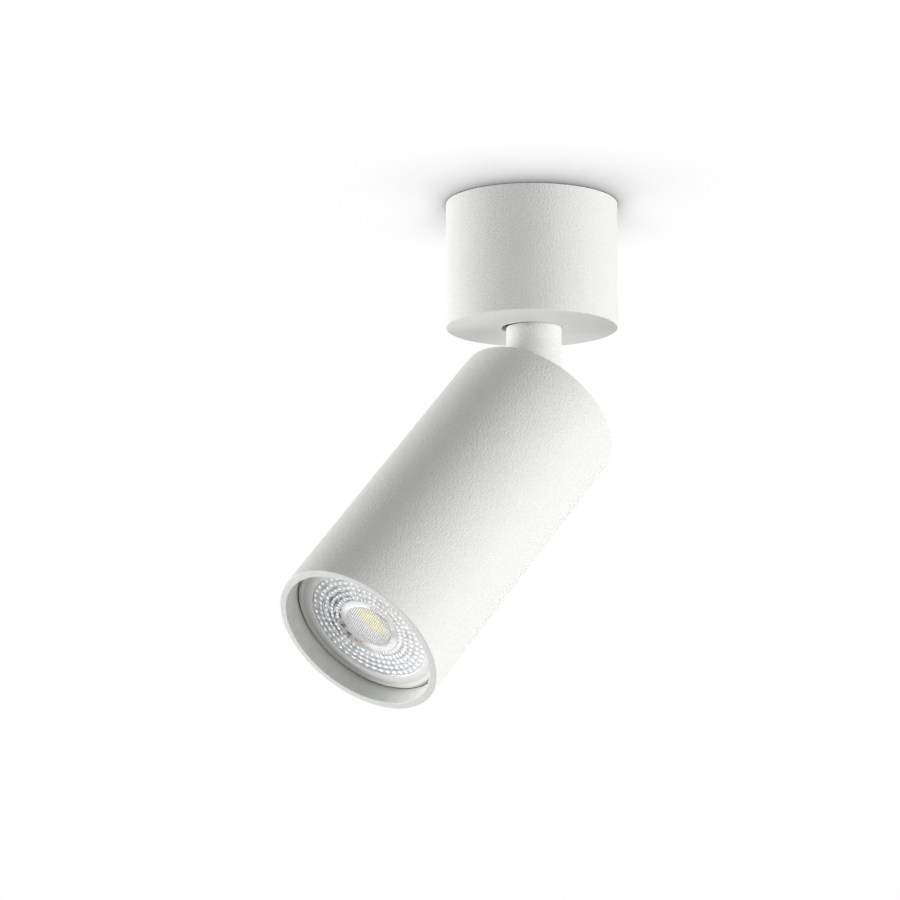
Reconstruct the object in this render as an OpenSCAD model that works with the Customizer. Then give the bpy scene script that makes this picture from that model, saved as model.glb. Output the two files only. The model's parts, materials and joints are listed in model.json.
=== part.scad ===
// Surface mounted ceiling spotlight with a swivelling stem and a tilting head.
// Millimetres, +Z up. The origin is on the stem's axis in the plane of the ceiling.
// The head leans towards -Y, so its hinge runs along X.

/* [Canopy] */
// Outer diameter of the canopy
canopy_d = 60; // [59:0.5:72]
// Height of the canopy
canopy_h = 44.5; // [43.5:0.5:60]
// Thickness of the canopy's wall
canopy_wall = 2.5; // [2:0.1:2.8]
// Thickness of the canopy's floor
canopy_floor = 2.5; // [1.5:0.1:3.2]
// Hole for the stem in the canopy's floor
canopy_hole_d = 21.2; // [21:0.1:24]
// How far the side screws push the canopy off the stem's axis
canopy_push = 0.73; // [0:0.01:0.75]
// Turn of the bracket and the side screws about the vertical
bracket_turn = 47.4; // [0:0.1:90]

/* [Ceiling bracket] */
// Thickness of the ceiling plate
plate_t = 2; // [1.5:0.1:2.5]
// Hole for the supply cable
cable_hole_d = 16; // [8:0.5:18]
// Pitch circle of the two ceiling screws
ceiling_pcd = 34; // [30:0.5:38]
// Hole for a ceiling screw
ceiling_hole_d = 4.5; // [4:0.1:5.5]
// Width of the strip that carries the stem
bridge_w = 16; // [14:0.5:18]
// Thickness of that strip
bridge_t = 1.5; // [1.2:0.1:1.8]

/* [Stem] */
// Outer diameter of the stem
stem_d = 19.3; // [18:0.1:19.6]
// Bore of the stem for the lead sleeve
stem_bore_d = 5.8; // [5.4:0.1:6.2]
// Diameter of the threaded spigot at the stem's top
spigot_d = 10; // [9:0.1:10.4]
// Drop from the canopy's underside to the pivot
stem_drop = 31.2; // [24:0.1:60]
// Thickness of the knuckle's tongue
tongue_t = 11; // [10:0.1:12]
// Swivel each way
swivel_limit = 165; // [90:1:165]

/* [Head] */
// Outer diameter of the head tube
head_d = 60.4; // [59:0.1:66]
// Length of the head tube
head_len = 119.5; // [118:0.5:150]
// Wall of the tube round the lamp
head_wall = 2.7; // [2.2:0.1:3]
// Wall of the tube's rear end
rear_wall = 3.7; // [3.4:0.1:4]
// Depth of the rear recess, from the rim to the pivot carrier
recess_depth = 12.4; // [12:0.1:14]
// Height of the rear rim above the pivot
pivot_depth = 0.9; // [0.3:0.1:1.5]
// Tilt from straight down, as photographed
tilt = 43.1; // [0:0.1:64]
// Largest tilt either way
tilt_limit = 65; // [45:1:65]
// Thickness of the pivot carrier's disc
carrier_t = 5; // [4:0.1:6]

/* [Lamp] */
// Space between the lamp's face and the tube, filled by the retaining ring
lamp_gap = 2.6; // [2.5:0.1:4]
// Depth of the retaining ring's face inside the mouth
ring_recess = 6.3; // [5:0.1:9]
// Length of the lamp's body, without its pins
lamp_len = 47.9; // [46:0.1:50]
// Distance between the lamp's two pins
pin_pitch = 10; // [9.6:0.1:10.4]
// Twist that frees the lamp
lamp_twist = 25; // [20:1:30]
// Diameter of the yellow light emitter
emitter_d = 10.4; // [8:0.1:14]

/* [Hidden] */

white_paint = "#F0F0EE";
dark_zinc = "#A9ABAD";
bright_steel = "#C9CBCC";
brass = "#C9A650";
nylon = "#F4F4F0";

// Smoothness of large and small rounds, and of the arc on an edge
big_fn = 128;
small_fn = 48;
arc_steps = 5;
// How far a cut runs past the face it opens, and the slack of a thread
overrun = 0.5;
thread_gap = 0.05;
// How much narrower a curved slot is than the rounds at its ends
slot_ease = 0.04;

// Canopy
canopy_r = canopy_d / 2;
canopy_in_r = canopy_r - canopy_wall;
canopy_edge = 0.4;
canopy_floor_z = canopy_floor - canopy_h;

// Ceiling bracket, with one bent tab for each side screw
tab_gap = 1.5;
plate_r = canopy_in_r - tab_gap;
tab_w = 8;
tab_h = 12;
grub_z = -8;
grub_r = 1.45;
grub_len = 3;
socket_share = 0.55;
m3_r = 1.5;
m3_head_r = 2.8;
m3_head_t = 2;

// Bridge that carries the stem
stem_r = stem_d / 2;
spigot_r = spigot_d / 2;
bridge_inset = 4.5;
bridge_half = plate_r - bridge_inset;
foot_len = 9;
foot_screw_v = bridge_half - foot_len / 2;
web_gap = 5;
web_bottom = canopy_floor_z + web_gap;
web_top = web_bottom + bridge_t;
leg_face = bridge_half - bridge_t;

// Terminal block on the inner face of one leg, with its poles one above the other
pole_pitch = 8.2;
pole_count = 3;
block_len = 16;
block_room = 3;
block_depth = leg_face - spigot_r - block_room;
block_drop = 3.8;
block_h = pole_count * pole_pitch;
block_top = -plate_t - block_drop;
pole_v = leg_face - block_depth / 2;
block_face = leg_face - block_depth;
sleeve_len = 14;
sleeve_r = 2.6;
sleeve_gap = 0.05;
wire_hole_r = 1.5;
wire_hole_len = 6.5;
clamp_u = 3.8;
clamp_r = 1.2;
clamp_len = 4.5;
clamp_open = 0.2;
slot_w = 0.6;
block_groove = 1;
fixing_r = 1;
fixing_head_r = 1.9;
fixing_head_t = 1.6;
fixing_past = 0.8;

// Leads
lead_r = 1;
lead_sides = 8;
lead_steps = 3;
lead_pair = 1.15;
lead_end_gap = 0.15;
cord_sleeve_r = 2.3;
lead_hole_gap = 0.5;

// Earth screw and lug on the bridge's other leg
earth_z = -18;
earth_r = 1.95;
lug_r = 4;
lug_t = 0.6;
lug_barrel_r = 1.6;
lug_barrel_start = 3.4;
lug_barrel_len = 4.6;
earth_past = 1;

// Swivel
washer_t = 0.5;
spring_washer_t = 1.2;
spring_washer_r = 8.5;
nut_t = 3.5;
nut_flats = 14;
spigot_past = 1.3;
spigot_gap = 0.08;
stop_radius = 7.5;
stop_r = 0.9;
stop_drop = 1.8;
stop_gap = 0.3;
stem_top = web_bottom - washer_t;
nut_bottom = web_top + spring_washer_t;
spigot_top = nut_bottom + nut_t + spigot_past;
sleeve_past = 1.5;
upper_sleeve_top = spigot_top + sleeve_past;
stem_edge = 0.3;

// Tilting knuckle
pivot_z = -canopy_h - stem_drop;
shoulder_h = 7.2;
fan_r = stem_r + overrun;
fan_half_w = cord_sleeve_r + lead_hole_gap;
pivot_shoulder_r = 2.5;
pivot_thread_r = 2;
pivot_thread_len = 2.2;
pivot_head_r = 4;
pivot_head_t = 2.4;
pivot_gap = 0.05;
pivot_washer_t = 0.5;
ear_t = 4;
ear_r = 6;
ear_in = tongue_t / 2 + pivot_washer_t + 2 * pivot_gap;
ear_out = ear_in + ear_t;
split_gap = 3;

// Head tube, seen with the pivot at zero and the mouth downwards
head_r = head_d / 2;
bore_r = head_r - head_wall;
rear_r = head_r - rear_wall;
tube_top = pivot_depth;
mouth_z = pivot_depth - head_len;
carrier_top = pivot_depth - recess_depth;
carrier_bottom = carrier_top - carrier_t;
carrier_gap = 0.2;
circlip_t = 1.5;
circlip_slack = 0.1;
circlip_bite = 0.9;
circlip_w = 3.2;
circlip_open = 36;
circlip_eye_r = 2;
circlip_eye_hole = 0.9;
rim_edge = 0.4;

// Lamp, from its face upwards
lamp_r = bore_r - lamp_gap;
ring_z = mouth_z + ring_recess;
lamp_step = 0.6;
lamp_face = ring_z + lamp_step;
base_end = lamp_face + lamp_len;
lamp_shell = 1.2;
lamp_band = 9;
lamp_neck_r = 15.2;
base_r = 12.8;
base_h = 11;
base_plug = 3;
cone_top = base_end - base_h;
pin_r = 1.4;
pin_head_r = 2.4;
pin_neck = 4.9;
pin_head_t = 2.2;
lens_sink = 0.2;
lens_r = lamp_r - 0.6 * lamp_shell;
lens_t = 2.2;
lens_field_share = 0.89;
lens_core_share = 0.44;
lens_dish = 0.6;
lens_dome = 0.5;
lens_core_depth = 3.6;
board_depth = 5.1;
board_t = 1;
board_gap = 0.3;
board_r = lamp_r - lamp_shell - board_gap;
board_z = lamp_face + board_depth;
emitter_t = 0.5;
emitter_rim = 1;
spreader_t = 1.5;
spreader_skirt = 3;
driver_w = 17;
driver_t = 1.2;
driver_gap = 2;
cap_r = 3.6;
cap_len = 12;
coil_w = 8;
coil_len = 9;
coil_t = 7;
part_count = 10;
part_ring_share = 0.62;
part_w = 2.2;
part_len = 1.4;
part_t = 0.7;

// Lamp holder
holder_gap = 0.2;
holder_front = base_end + holder_gap;
holder_r = 14.5;
holder_h = 18;
holder_top = holder_front + holder_h;
holder_wall = 3.2;
slot_gap = 0.3;
cavity_gap = 0.6;
cavity_h = 6.2;
contact_t = 0.4;
contact_w = 4;
holder_strip_w = 20;
holder_strip_t = 1.2;
holder_side_gap = 5.5;
holder_leg = bore_r - holder_side_gap;
holder_foot = 8;
holder_foot_screw = holder_leg - holder_foot / 2;
holder_hole_r = 7;
holder_screw_x = 10.8;
holder_screw_deep = 7;
foot_screw_deep = 4;

// Retaining ring and the rubber ring that grips the tube
ring_gap = 0.5;
ring_len = 8;
ring_in_r = lamp_r + 0.3;
ring_out_r = bore_r - ring_gap;
ring_step = 0.35;
ring_land = 0.5;
grip_r = 0.75;
grip_gap = 0.1;
grip_back = 5.7;
grip_centre = bore_r - grip_gap - grip_r;

// Routes of the leads in the canopy, in the bracket's own axes
line_route = [[-3, pole_v, pole_z(0)], [-8, pole_v, pole_z(0)], [-12.5, 13, -11], [-15.5, 9, -13], [-14.5, 4, -16],
    [-9.5, 1, -18.5], [-4, 0, -20], [-1.5, 0, -22.5], [-1.1, 0, -25.5], [-1.1, 0, -27.9]];
neutral_route = [[-3, pole_v, pole_z(1)], [-8, pole_v, pole_z(1)], [-11, 12, -18.3], [-10.5, 8.5, -18.5], [-7, 5.5, -18.5],
    [-2, 3.5, -19], [0.8, 1.5, -20.5], [1.1, 0.2, -23], [1.1, 0, -25.5], [1.1, 0, -27.9]];
lug_v = lug_barrel_r - leg_face;
earth_route = [[-3, pole_v, pole_z(2)], [-8, pole_v, pole_z(2)], [-13, 12, -26.6], [-16.6, 6, -25.6],
    [-17.8, -2, -23.6], [-16.8, -10, -20.8], [-13.4, -16, -18.8], [-10, lug_v, earth_z],
    [-7, lug_v, earth_z], [-4.5, lug_v, earth_z]];

// Lower end of the head's lead sleeve, and where a lower lead meets its contact
lower_sleeve_end = carrier_bottom - 2 * split_gap;
lead_end = holder_front + holder_wall + cavity_h - 1.5 * contact_t;

// Points of an arc from angle a to angle b
function arc(cx, cy, r, a, b) =
    [for (i = [0:arc_steps]) [cx + r * cos(a + (b - a) * i / arc_steps), cy + r * sin(a + (b - a) * i / arc_steps)]];

// Smooth curve through chosen points, and the rings of a tube along it
function unit(v) = v / norm(v);
function spline_at(p, i, t) = let (
    a = p[max(i - 1, 0)],
    b = p[i],
    c = p[min(i + 1, len(p) - 1)],
    d = p[min(i + 2, len(p) - 1)])
    0.5 * (2 * b + (c - a) * t + (2 * a - 5 * b + 4 * c - d) * t * t + (3 * b - a - 3 * c + d) * t * t * t);
function spline(p) = concat(
    [for (i = [0:len(p) - 2]) for (k = [0:lead_steps - 1]) spline_at(p, i, k / lead_steps)],
    [p[len(p) - 1]]);
function heading(q, i) = unit(q[min(i + 1, len(q) - 1)] - q[max(i - 1, 0)]);
function ring_at(q, i, r, hint) = let (
    t = heading(q, i),
    a = unit(cross(t, hint)),
    b = cross(t, a))
    [for (k = [0:lead_sides - 1])
        q[i] + r * (cos(360 * k / lead_sides) * a + sin(360 * k / lead_sides) * b)];

module lead(points, hint) {
    q = spline(points);
    n = len(q);
    rings = [for (i = [0:n - 1]) each ring_at(q, i, lead_r, hint)];
    walls = [for (i = [0:n - 2]) for (k = [0:lead_sides - 1]) let (
        m = (k + 1) % lead_sides,
        lo = i * lead_sides,
        hi = lo + lead_sides)
        each [[lo + k, hi + k, lo + m], [lo + m, hi + k, hi + m]]];
    start_cap = [for (k = [1:lead_sides - 2]) [0, k, k + 1]];
    last = (n - 1) * lead_sides;
    end_cap = [for (k = [1:lead_sides - 2]) [last, last + k + 1, last + k]];
    polyhedron(rings, concat(walls, start_cap, end_cap));
}

module in_bracket() {
    rotate([0, 0, bracket_turn]) children();
}

module in_head() {
    translate([0, 0, pivot_z]) rotate([-tilt, 0, 0]) children();
}

module both_ends() {
    for (turn = [0, 180]) rotate([0, 0, turn]) children();
}

module along_x() {
    rotate([0, 90, 0]) children();
}

module ring(r_out, r_in, h) {
    difference() {
        cylinder(r = r_out, h = h, $fn = big_fn);
        translate([0, 0, -overrun]) cylinder(r = r_in, h = h + 2 * overrun, $fn = big_fn);
    }
}

// Screw that points up, with its head's underside at zero
module pan_screw(r, len, head_r, head_t) {
    difference() {
        union() {
            translate([0, 0, -head_t]) cylinder(r = head_r, h = head_t, $fn = small_fn);
            translate([0, 0, -head_t / 2]) cylinder(r = r, h = len + head_t / 2, $fn = small_fn);
        }
        translate([0, 0, -head_t - overrun])
            cylinder(r = socket_share * r, h = head_t / 2 + overrun, $fn = 6);
    }
}

module canopy_shell() color(white_paint) in_bracket() translate([-canopy_push, 0, 0]) difference() {
    rotate_extrude($fn = big_fn) polygon(concat(
        [[canopy_hole_d / 2, -canopy_h]],
        arc(canopy_r - canopy_edge, canopy_edge - canopy_h, canopy_edge, -90, 0),
        [[canopy_r, 0], [canopy_in_r, 0], [canopy_in_r, canopy_floor_z], [canopy_hole_d / 2, canopy_floor_z]]));
    both_ends() translate([canopy_in_r - overrun, 0, grub_z]) along_x()
        cylinder(r = grub_r + thread_gap, h = canopy_wall + 2 * overrun, $fn = small_fn);
}

module canopy_grub_screws() color(dark_zinc) in_bracket() both_ends()
    translate([plate_r, 0, grub_z]) along_x() difference() {
        cylinder(r = grub_r, h = grub_len, $fn = small_fn);
        translate([0, 0, grub_len / 2])
            cylinder(r = socket_share * grub_r, h = grub_len / 2 + overrun, $fn = 6);
    }

module ceiling_bracket() color(bright_steel) in_bracket() difference() {
    union() {
        translate([0, 0, -plate_t]) cylinder(r = plate_r, h = plate_t, $fn = big_fn);
        both_ends() translate([plate_r - plate_t, -tab_w / 2, -tab_h]) cube([plate_t, tab_w, tab_h]);
    }
    translate([0, 0, -plate_t - overrun])
        cylinder(r = cable_hole_d / 2, h = plate_t + 2 * overrun, $fn = big_fn);
    both_ends() translate([ceiling_pcd / 2, 0, -plate_t - overrun])
        cylinder(r = ceiling_hole_d / 2, h = plate_t + 2 * overrun, $fn = small_fn);
    both_ends() translate([0, foot_screw_v, -plate_t - overrun])
        cylinder(r = m3_r + thread_gap, h = plate_t + 2 * overrun, $fn = small_fn);
}

module stem_bridge() color(bright_steel) in_bracket() difference() {
    union() {
        both_ends() {
            translate([-bridge_w / 2, leg_face, web_bottom])
                cube([bridge_w, bridge_t, -plate_t - web_bottom]);
            translate([-bridge_w / 2, bridge_half - foot_len, -plate_t - bridge_t])
                cube([bridge_w, foot_len, bridge_t]);
        }
        translate([-bridge_w / 2, -bridge_half, web_bottom]) cube([bridge_w, 2 * bridge_half, bridge_t]);
    }
    both_ends() translate([0, foot_screw_v, -plate_t - bridge_t - overrun])
        cylinder(r = m3_r + thread_gap, h = bridge_t + 2 * overrun, $fn = small_fn);
    translate([0, 0, web_bottom - overrun])
        cylinder(r = spigot_r + spigot_gap, h = bridge_t + 2 * overrun, $fn = big_fn);
    translate([stop_radius, 0, web_bottom - overrun])
        cylinder(r = stop_r + thread_gap, h = bridge_t + 2 * overrun, $fn = small_fn);
    translate([0, overrun - leg_face, earth_z]) rotate([90, 0, 0])
        cylinder(r = earth_r + thread_gap, h = bridge_t + 2 * overrun, $fn = small_fn);
    translate([0, leg_face - overrun, fixing_z()]) rotate([-90, 0, 0])
        cylinder(r = fixing_r + thread_gap, h = bridge_t + 2 * overrun, $fn = small_fn);
}

module bridge_screws() color(dark_zinc) in_bracket() both_ends()
    translate([0, foot_screw_v, -plate_t - bridge_t])
        pan_screw(m3_r, bridge_t + plate_t - canopy_edge, m3_head_r, m3_head_t);

function pole_z(i) = block_top - pole_pitch * (i + 0.5);
function fixing_z() = block_top - pole_pitch;

module terminal_block() color(nylon) in_bracket() difference() {
    translate([-block_len / 2, block_face, block_top - block_h]) cube([block_len, block_depth, block_h]);
    for (i = [0:pole_count - 1]) {
        translate([-block_len / 2 - overrun, pole_v, pole_z(i)]) along_x()
            cylinder(r = sleeve_r + sleeve_gap, h = block_len + 2 * overrun, $fn = small_fn);
        for (u = [-clamp_u, clamp_u]) translate([u, block_face - overrun, pole_z(i)]) rotate([-90, 0, 0])
            cylinder(r = clamp_r + 2 * thread_gap, h = block_depth / 2 + overrun, $fn = small_fn);
    }
    translate([0, block_face - overrun, fixing_z()]) rotate([-90, 0, 0])
        cylinder(r = fixing_r + thread_gap, h = block_depth + 2 * overrun, $fn = small_fn);
    for (i = [1:pole_count - 1]) both_grooves() translate([0, 0, block_top - i * pole_pitch])
        cube([block_len, block_groove, block_groove], center = true);
}

// Grooves between the poles stop short of the fixing screw's head
module both_grooves() {
    for (side = [-1, 1])
        translate([side * (block_len / 2 + fixing_head_r + overrun), block_face, 0]) children();
}

module terminal_sleeves() color(brass) in_bracket() for (i = [0:pole_count - 1])
    translate([0, pole_v, pole_z(i)]) difference() {
        translate([-sleeve_len / 2, 0, 0]) along_x() cylinder(r = sleeve_r, h = sleeve_len, $fn = small_fn);
        both_ends() translate([sleeve_len / 2 - wire_hole_len, 0, 0]) along_x()
            cylinder(r = wire_hole_r, h = wire_hole_len + overrun, $fn = small_fn);
        for (u = [-clamp_u, clamp_u]) translate([u, 0, 0]) rotate([90, 0, 0])
            cylinder(r = clamp_r + thread_gap, h = sleeve_r + overrun, $fn = small_fn);
    }

// The fixture's leads are clamped, and the supply side waits with its screws backed off
module terminal_screws() color(bright_steel) in_bracket() for (i = [0:pole_count - 1]) {
    clamp_screw(-clamp_u, pole_v - lead_r, pole_z(i));
    clamp_screw(clamp_u, pole_v - wire_hole_r - clamp_open, pole_z(i));
}

module clamp_screw(u, tip, z) translate([u, tip, z]) rotate([90, 0, 0]) difference() {
    cylinder(r = clamp_r, h = clamp_len, $fn = small_fn);
    translate([-clamp_r - overrun, -slot_w / 2, clamp_len - clamp_r / 2])
        cube([2 * clamp_r + 2 * overrun, slot_w, clamp_r]);
}

module terminal_fixing_screw() color(dark_zinc) in_bracket() translate([0, block_face, fixing_z()])
    rotate([-90, 0, 0])
        pan_screw(fixing_r, block_depth + bridge_t + fixing_past, fixing_head_r, fixing_head_t);

module earth_lug() color(bright_steel) in_bracket() translate([0, -leg_face, earth_z])
    rotate([-90, 0, 0]) difference() {
        union() {
            cylinder(r = lug_r, h = lug_t, $fn = small_fn);
            translate([-lug_barrel_start - lug_barrel_len, -lug_barrel_r, 0])
                cube([lug_barrel_start + lug_barrel_len, 2 * lug_barrel_r, lug_t]);
            translate([-lug_barrel_start - lug_barrel_len, 0, lug_barrel_r]) along_x()
                cylinder(r = lug_barrel_r, h = lug_barrel_len, $fn = small_fn);
        }
        translate([0, 0, -overrun]) cylinder(r = earth_r + 4 * thread_gap, h = lug_t + 2 * overrun, $fn = small_fn);
        translate([-lug_barrel_start - lug_barrel_len - overrun, 0, lug_barrel_r]) along_x()
            cylinder(r = lead_r + thread_gap, h = lug_barrel_len + 2 * overrun, $fn = small_fn);
    }

module earth_screw() color(dark_zinc) in_bracket() translate([0, lug_t - leg_face, earth_z])
    rotate([90, 0, 0]) pan_screw(earth_r, lug_t + bridge_t + earth_past, m3_head_r, m3_head_t);

module line_lead_upper() color("#8A5A33") in_bracket() lead(line_route, [0.2, 1, 0.1]);
module neutral_lead_upper() color("#3B6FB5") in_bracket() lead(neutral_route, [0.5, 1, 0.5]);
module earth_lead() color("#7FB04A") in_bracket() lead(earth_route, [0, 0.2, 1]);

module swivel_friction_washer() color(nylon) in_bracket() translate([0, 0, stem_top]) difference() {
    ring(stem_r - stem_edge, spigot_r + spigot_gap, washer_t);
    translate([stop_radius, 0, -overrun])
        cylinder(r = stop_r + thread_gap, h = washer_t + 2 * overrun, $fn = small_fn);
}

module swivel_stop_pin() color(dark_zinc) in_bracket() translate([stop_radius, 0, stem_top - stop_drop])
    cylinder(r = stop_r, h = web_top - stem_top + stop_drop, $fn = small_fn);

// Half the angle that the stop pin sweeps in the stem's top
function stop_sweep() = swivel_limit + 2 * asin(stop_gap / 2 / stop_radius);

module stop_groove() {
    w = stop_r + stop_gap;
    translate([0, 0, stem_top - stop_drop - stop_gap]) {
        rotate([0, 0, -stop_sweep()]) rotate_extrude(angle = 2 * stop_sweep(), $fn = big_fn)
            translate([stop_radius - w + slot_ease, 0])
                square([2 * (w - slot_ease), stop_drop + stop_gap + overrun]);
        for (side = [-1, 1]) rotate([0, 0, side * swivel_limit]) translate([stop_radius, 0, 0])
            cylinder(r = w, h = stop_drop + stop_gap + overrun, $fn = small_fn);
    }
}

// Space that the lead sleeve sweeps through the tongue as the head tilts
module lead_fan() {
    a = tilt_limit + 1;
    rotate([90, 0, 90]) linear_extrude(2 * fan_half_w, center = true) union() {
        polygon(concat([[0, 0]],
            [for (i = [-6:6]) (fan_r + overrun) * [sin(a * i / 6), -cos(a * i / 6)]]));
        for (side = [-1, 1]) rotate(side * a) translate([-fan_half_w, -fan_r]) square([2 * fan_half_w, fan_r]);
        circle(r = fan_half_w, $fn = small_fn);
    }
}

module stem() color(white_paint) difference() {
    union() {
        intersection() {
            translate([0, 0, pivot_z - stem_r]) cylinder(r = stem_r, h = stem_top - pivot_z + stem_r, $fn = big_fn);
            union() {
                translate([-stem_d, -stem_d, pivot_z]) cube([2 * stem_d, 2 * stem_d, stem_top - pivot_z]);
                translate([-stem_d, 0, pivot_z]) along_x() cylinder(r = stem_r, h = 2 * stem_d, $fn = big_fn);
            }
        }
        translate([0, 0, stem_top - overrun])
            cylinder(r = spigot_r, h = spigot_top - stem_top + overrun, $fn = big_fn);
    }
    translate([0, 0, pivot_z]) {
        cylinder(r = stem_bore_d / 2, h = spigot_top - pivot_z + overrun, $fn = small_fn);
        lead_fan();
        both_ends() translate([tongue_t / 2, -stem_d, -stem_d]) cube([stem_d, 2 * stem_d, stem_d + shoulder_h]);
        translate([-stem_d, 0, 0]) along_x()
            cylinder(r = pivot_thread_r + thread_gap, h = 2 * stem_d, $fn = small_fn);
    }
    in_bracket() stop_groove();
}

module stem_spring_washer() color(bright_steel) translate([0, 0, web_top])
    ring(spring_washer_r, spigot_r + thread_gap, spring_washer_t);

module stem_nut() color(bright_steel) in_bracket() translate([0, 0, nut_bottom]) difference() {
    cylinder(r = nut_flats / 2 / cos(30), h = nut_t, $fn = 6);
    translate([0, 0, -overrun]) cylinder(r = spigot_r + thread_gap, h = nut_t + 2 * overrun, $fn = big_fn);
}

module stem_lead_sleeve() color("#E9E6DC") translate([0, 0, pivot_z + split_gap])
    cylinder(r = cord_sleeve_r, h = upper_sleeve_top - pivot_z - split_gap, $fn = small_fn);

// The screws and washers stay with the stem, and the head's ears turn on them
module pivot_screws() color(dark_zinc) translate([0, 0, pivot_z]) both_ends() along_x() difference() {
    union() {
        translate([0, 0, tongue_t / 2 - pivot_thread_len]) cylinder(r = pivot_thread_r, h = pivot_thread_len, $fn = small_fn);
        translate([0, 0, tongue_t / 2])
            cylinder(r = pivot_shoulder_r, h = ear_out + pivot_gap - tongue_t / 2, $fn = small_fn);
        translate([0, 0, ear_out + pivot_gap]) cylinder(r = pivot_head_r, h = pivot_head_t, $fn = small_fn);
    }
    translate([0, 0, ear_out + pivot_gap + pivot_head_t / 2])
        cylinder(r = socket_share * pivot_head_r, h = pivot_head_t, $fn = 6);
}

module pivot_washers() color(nylon) translate([0, 0, pivot_z]) both_ends()
    translate([tongue_t / 2, 0, 0]) along_x() ring(ear_r, pivot_shoulder_r + pivot_gap, pivot_washer_t);

module head_tube() color(white_paint) in_head() difference() {
    rotate_extrude($fn = big_fn) polygon(concat(
        arc(head_r - rim_edge, mouth_z + rim_edge, rim_edge, -90, 0),
        arc(head_r - rim_edge, tube_top - rim_edge, rim_edge, 0, 90),
        arc(rear_r + rim_edge, tube_top - rim_edge, rim_edge, 90, 180),
        [[rear_r, carrier_top], [bore_r, carrier_top]],
        arc(bore_r + rim_edge, mouth_z + rim_edge, rim_edge, 180, 270)));
    translate([0, 0, carrier_bottom - circlip_t - circlip_slack])
        ring(bore_r + circlip_bite + circlip_slack, bore_r - overrun, circlip_t + circlip_slack);
}

module pivot_carrier() color("#DADBDB") in_head() difference() {
    union() {
        translate([0, 0, carrier_bottom]) cylinder(r = bore_r - carrier_gap, h = carrier_t, $fn = big_fn);
        both_ends() {
            translate([ear_in, -ear_r, carrier_bottom]) cube([ear_t, 2 * ear_r, -carrier_bottom]);
            translate([ear_in, 0, 0]) along_x() cylinder(r = ear_r, h = ear_t, $fn = small_fn);
        }
    }
    both_ends() translate([ear_in - overrun, 0, 0]) along_x()
        cylinder(r = pivot_shoulder_r + pivot_gap, h = ear_t + 2 * overrun, $fn = small_fn);
    translate([0, 0, carrier_bottom - overrun])
        cylinder(r = cord_sleeve_r + lead_hole_gap, h = carrier_t + 2 * overrun, $fn = small_fn);
    both_ends() translate([holder_foot_screw, 0, carrier_bottom - overrun])
        cylinder(r = m3_r + thread_gap, h = foot_screw_deep + overrun, $fn = small_fn);
}

module carrier_retaining_ring() color(dark_zinc) in_head()
    translate([0, 0, carrier_bottom - circlip_t]) difference() {
        r_out = bore_r + circlip_bite;
        r_in = r_out - circlip_w;
        union() {
            rotate([0, 0, 90 + circlip_open / 2]) rotate_extrude(angle = 360 - circlip_open, $fn = big_fn)
                translate([r_in, 0]) square([circlip_w, circlip_t]);
            for (side = [-1, 1]) rotate([0, 0, 90 + side * circlip_open / 2])
                translate([r_in, 0, 0]) cylinder(r = circlip_eye_r, h = circlip_t, $fn = small_fn);
        }
        for (side = [-1, 1]) rotate([0, 0, 90 + side * circlip_open / 2])
            translate([r_in, 0, -overrun]) cylinder(r = circlip_eye_hole, h = circlip_t + 2 * overrun, $fn = small_fn);
    }

module head_lead_sleeve() color("#E9E6DC") in_head() translate([0, 0, lower_sleeve_end])
    cylinder(r = cord_sleeve_r, h = -split_gap - lower_sleeve_end, $fn = small_fn);

function lower_route(side) = [[0, side * lead_pair, lower_sleeve_end - lead_end_gap],
    [0, side * 1.2 * lead_pair, lower_sleeve_end - split_gap],
    [0, side * pin_pitch * 0.4, (lower_sleeve_end + holder_top) / 2],
    [0, side * pin_pitch * 0.5, holder_top + split_gap],
    [0, side * pin_pitch * 0.5, holder_top],
    [0, side * pin_pitch * 0.5, lead_end + lead_end_gap]];

module line_lead_lower() color("#8A5A33") in_head() lead(lower_route(1), [1, 0, 0]);
module neutral_lead_lower() color("#3B6FB5") in_head() lead(lower_route(-1), [1, 0, 0]);

module lampholder_bracket() color(bright_steel) in_head() difference() {
    leg_h = carrier_bottom - holder_top;
    union() {
        translate([-holder_leg, -holder_strip_w / 2, holder_top]) cube([2 * holder_leg, holder_strip_w, holder_strip_t]);
        both_ends() {
            translate([holder_leg - holder_strip_t, -holder_strip_w / 2, holder_top])
                cube([holder_strip_t, holder_strip_w, leg_h]);
            translate([holder_leg - holder_foot, -holder_strip_w / 2, carrier_bottom - holder_strip_t])
                cube([holder_foot, holder_strip_w, holder_strip_t]);
        }
    }
    translate([0, 0, holder_top - overrun])
        cylinder(r = holder_hole_r, h = holder_strip_t + 2 * overrun, $fn = small_fn);
    both_ends() {
        translate([holder_screw_x, 0, holder_top - overrun])
            cylinder(r = m3_r + thread_gap, h = holder_strip_t + 2 * overrun, $fn = small_fn);
        translate([holder_foot_screw, 0, carrier_bottom - holder_strip_t - overrun])
            cylinder(r = m3_r + thread_gap, h = holder_strip_t + 2 * overrun, $fn = small_fn);
    }
}

module bracket_screws() color(dark_zinc) in_head() both_ends()
    translate([holder_foot_screw, 0, carrier_bottom - holder_strip_t])
        pan_screw(m3_r, holder_strip_t + foot_screw_deep - overrun, m3_head_r, m3_head_t);

module holder_screws() color(dark_zinc) in_head() both_ends()
    translate([holder_screw_x, 0, holder_top + holder_strip_t]) rotate([180, 0, 0])
        pan_screw(m3_r, holder_strip_t + holder_screw_deep - overrun, m3_head_r, m3_head_t);

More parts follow.
